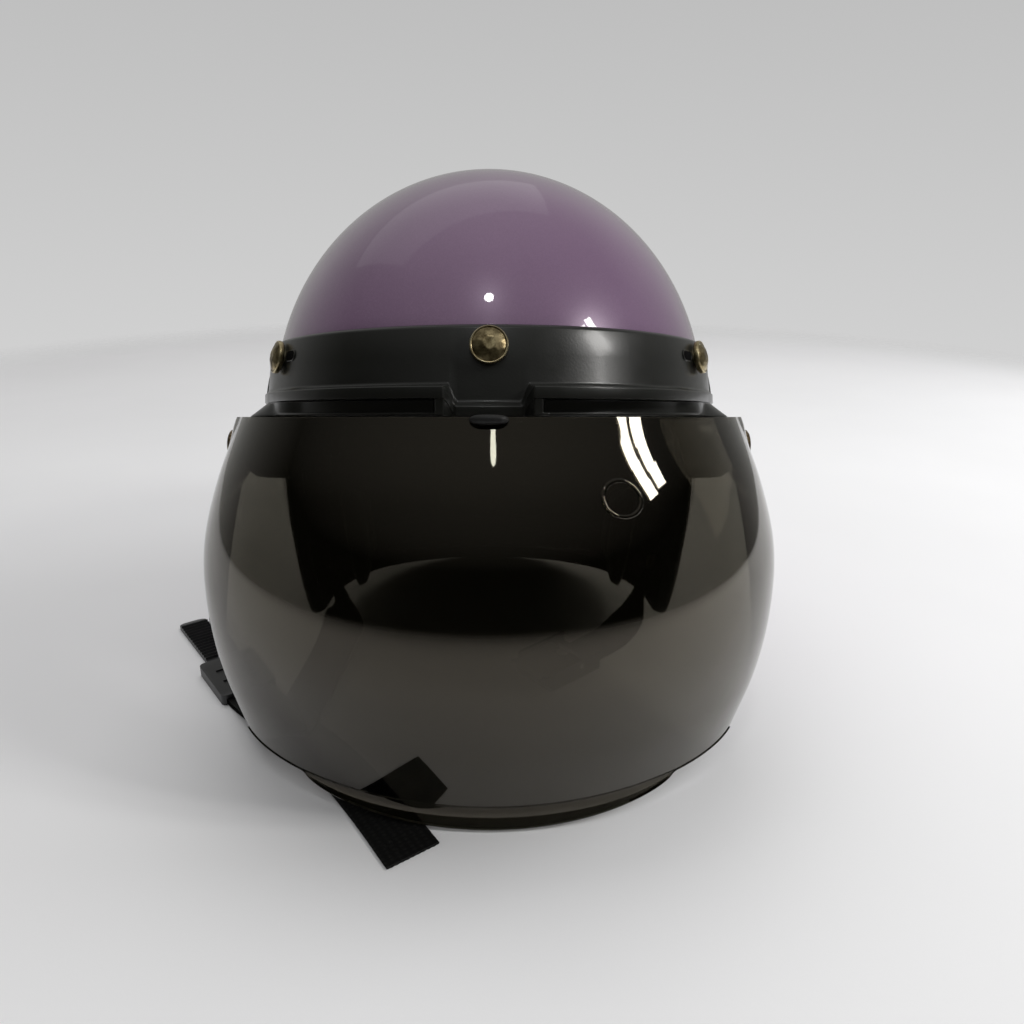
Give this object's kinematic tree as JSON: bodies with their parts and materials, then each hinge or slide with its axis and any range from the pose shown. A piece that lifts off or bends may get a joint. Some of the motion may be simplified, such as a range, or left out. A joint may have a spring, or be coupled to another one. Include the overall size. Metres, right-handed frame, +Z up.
{
  "type": "open-face helmet with flip-up bubble visor",
  "caption": "Open-face road helmet with a three-snap visor frame, a flip-up smoke bubble visor, padded liner and chin strap with a ratchet buckle.",
  "frame": {"origin": "on the floor, straight below the middle of the shell's widest line", "axes": "+Z up, -Y the way the face looks, +X the wearer's left; the helmet lies tipped back on the floor"},
  "size_m": [0.3269, 0.3492, 0.2621],
  "materials": {
    "shell_paint": "glossy lavender lacquer",
    "trim_rubber": "satin",
    "foam": "moulded bead foam",
    "liner_fabric": "brushed knit",
    "pad_fabric": "brushed knit",
    "frame_plastic": "satin black",
    "snap_brass": "antique, hammered",
    "snap_steel": "plain",
    "screw_bronze": "dark bronze",
    "steel": "zinc plated",
    "shield_smoke": "smoke tinted, glossy",
    "tab_rubber": "satin",
    "bush_plastic": "satin",
    "webbing": "woven webbing",
    "buckle_plastic": "satin black",
    "lever_plastic": "satin"
  },
  "bodies": {
    "helmet": {"shell": "shell_paint", "edge_trim": "trim_rubber", "foam_liner": "foam", "crown_liner": "liner_fabric", "cheek_pad_left": "pad_fabric", "cheek_pad_right": "pad_fabric", "neck_roll": "pad_fabric", "visor_frame": "frame_plastic", "snap_studs": "snap_steel", "snap_sockets": "snap_steel", "snap_cap_center": "snap_brass", "snap_cap_left": "snap_brass", "snap_cap_right": "snap_brass", "pivot_screws": "screw_bronze", "pivot_nuts": "steel", "pivot_washers": "steel", "strap_rivets": "screw_bronze", "anchor_plates": "steel", "strap_right": "webbing", "strap_tail": "webbing", "strap_slider": "buckle_plastic", "buckle_tongue": "buckle_plastic", "strap_left": "webbing", "buckle_body": "buckle_plastic", "lever_pin": "steel", "lever_spring": "steel"},
    "visor": {"visor_shield": "shield_smoke", "visor_tab": "tab_rubber", "pivot_bushes": "bush_plastic"},
    "lever": {"buckle_lever": "lever_plastic"}
  },
  "joints": [
    {"name": "visor_flip", "type": "hinge", "parent": "helmet", "child": "visor", "pos_m": [0, -0.07616, 0.13417], "axis": [-1, 0, 0], "range_deg": [0, 46]},
    {"name": "lever_lift", "type": "hinge", "parent": "helmet", "child": "lever", "pos_m": [0.04159, -0.06174, 0.0074], "axis": [-0.6494, 0.7604, 0], "range_deg": [0, 35], "stiffness_Nm_per_rad": 0.02, "springref_deg": -5.73}
  ]
}
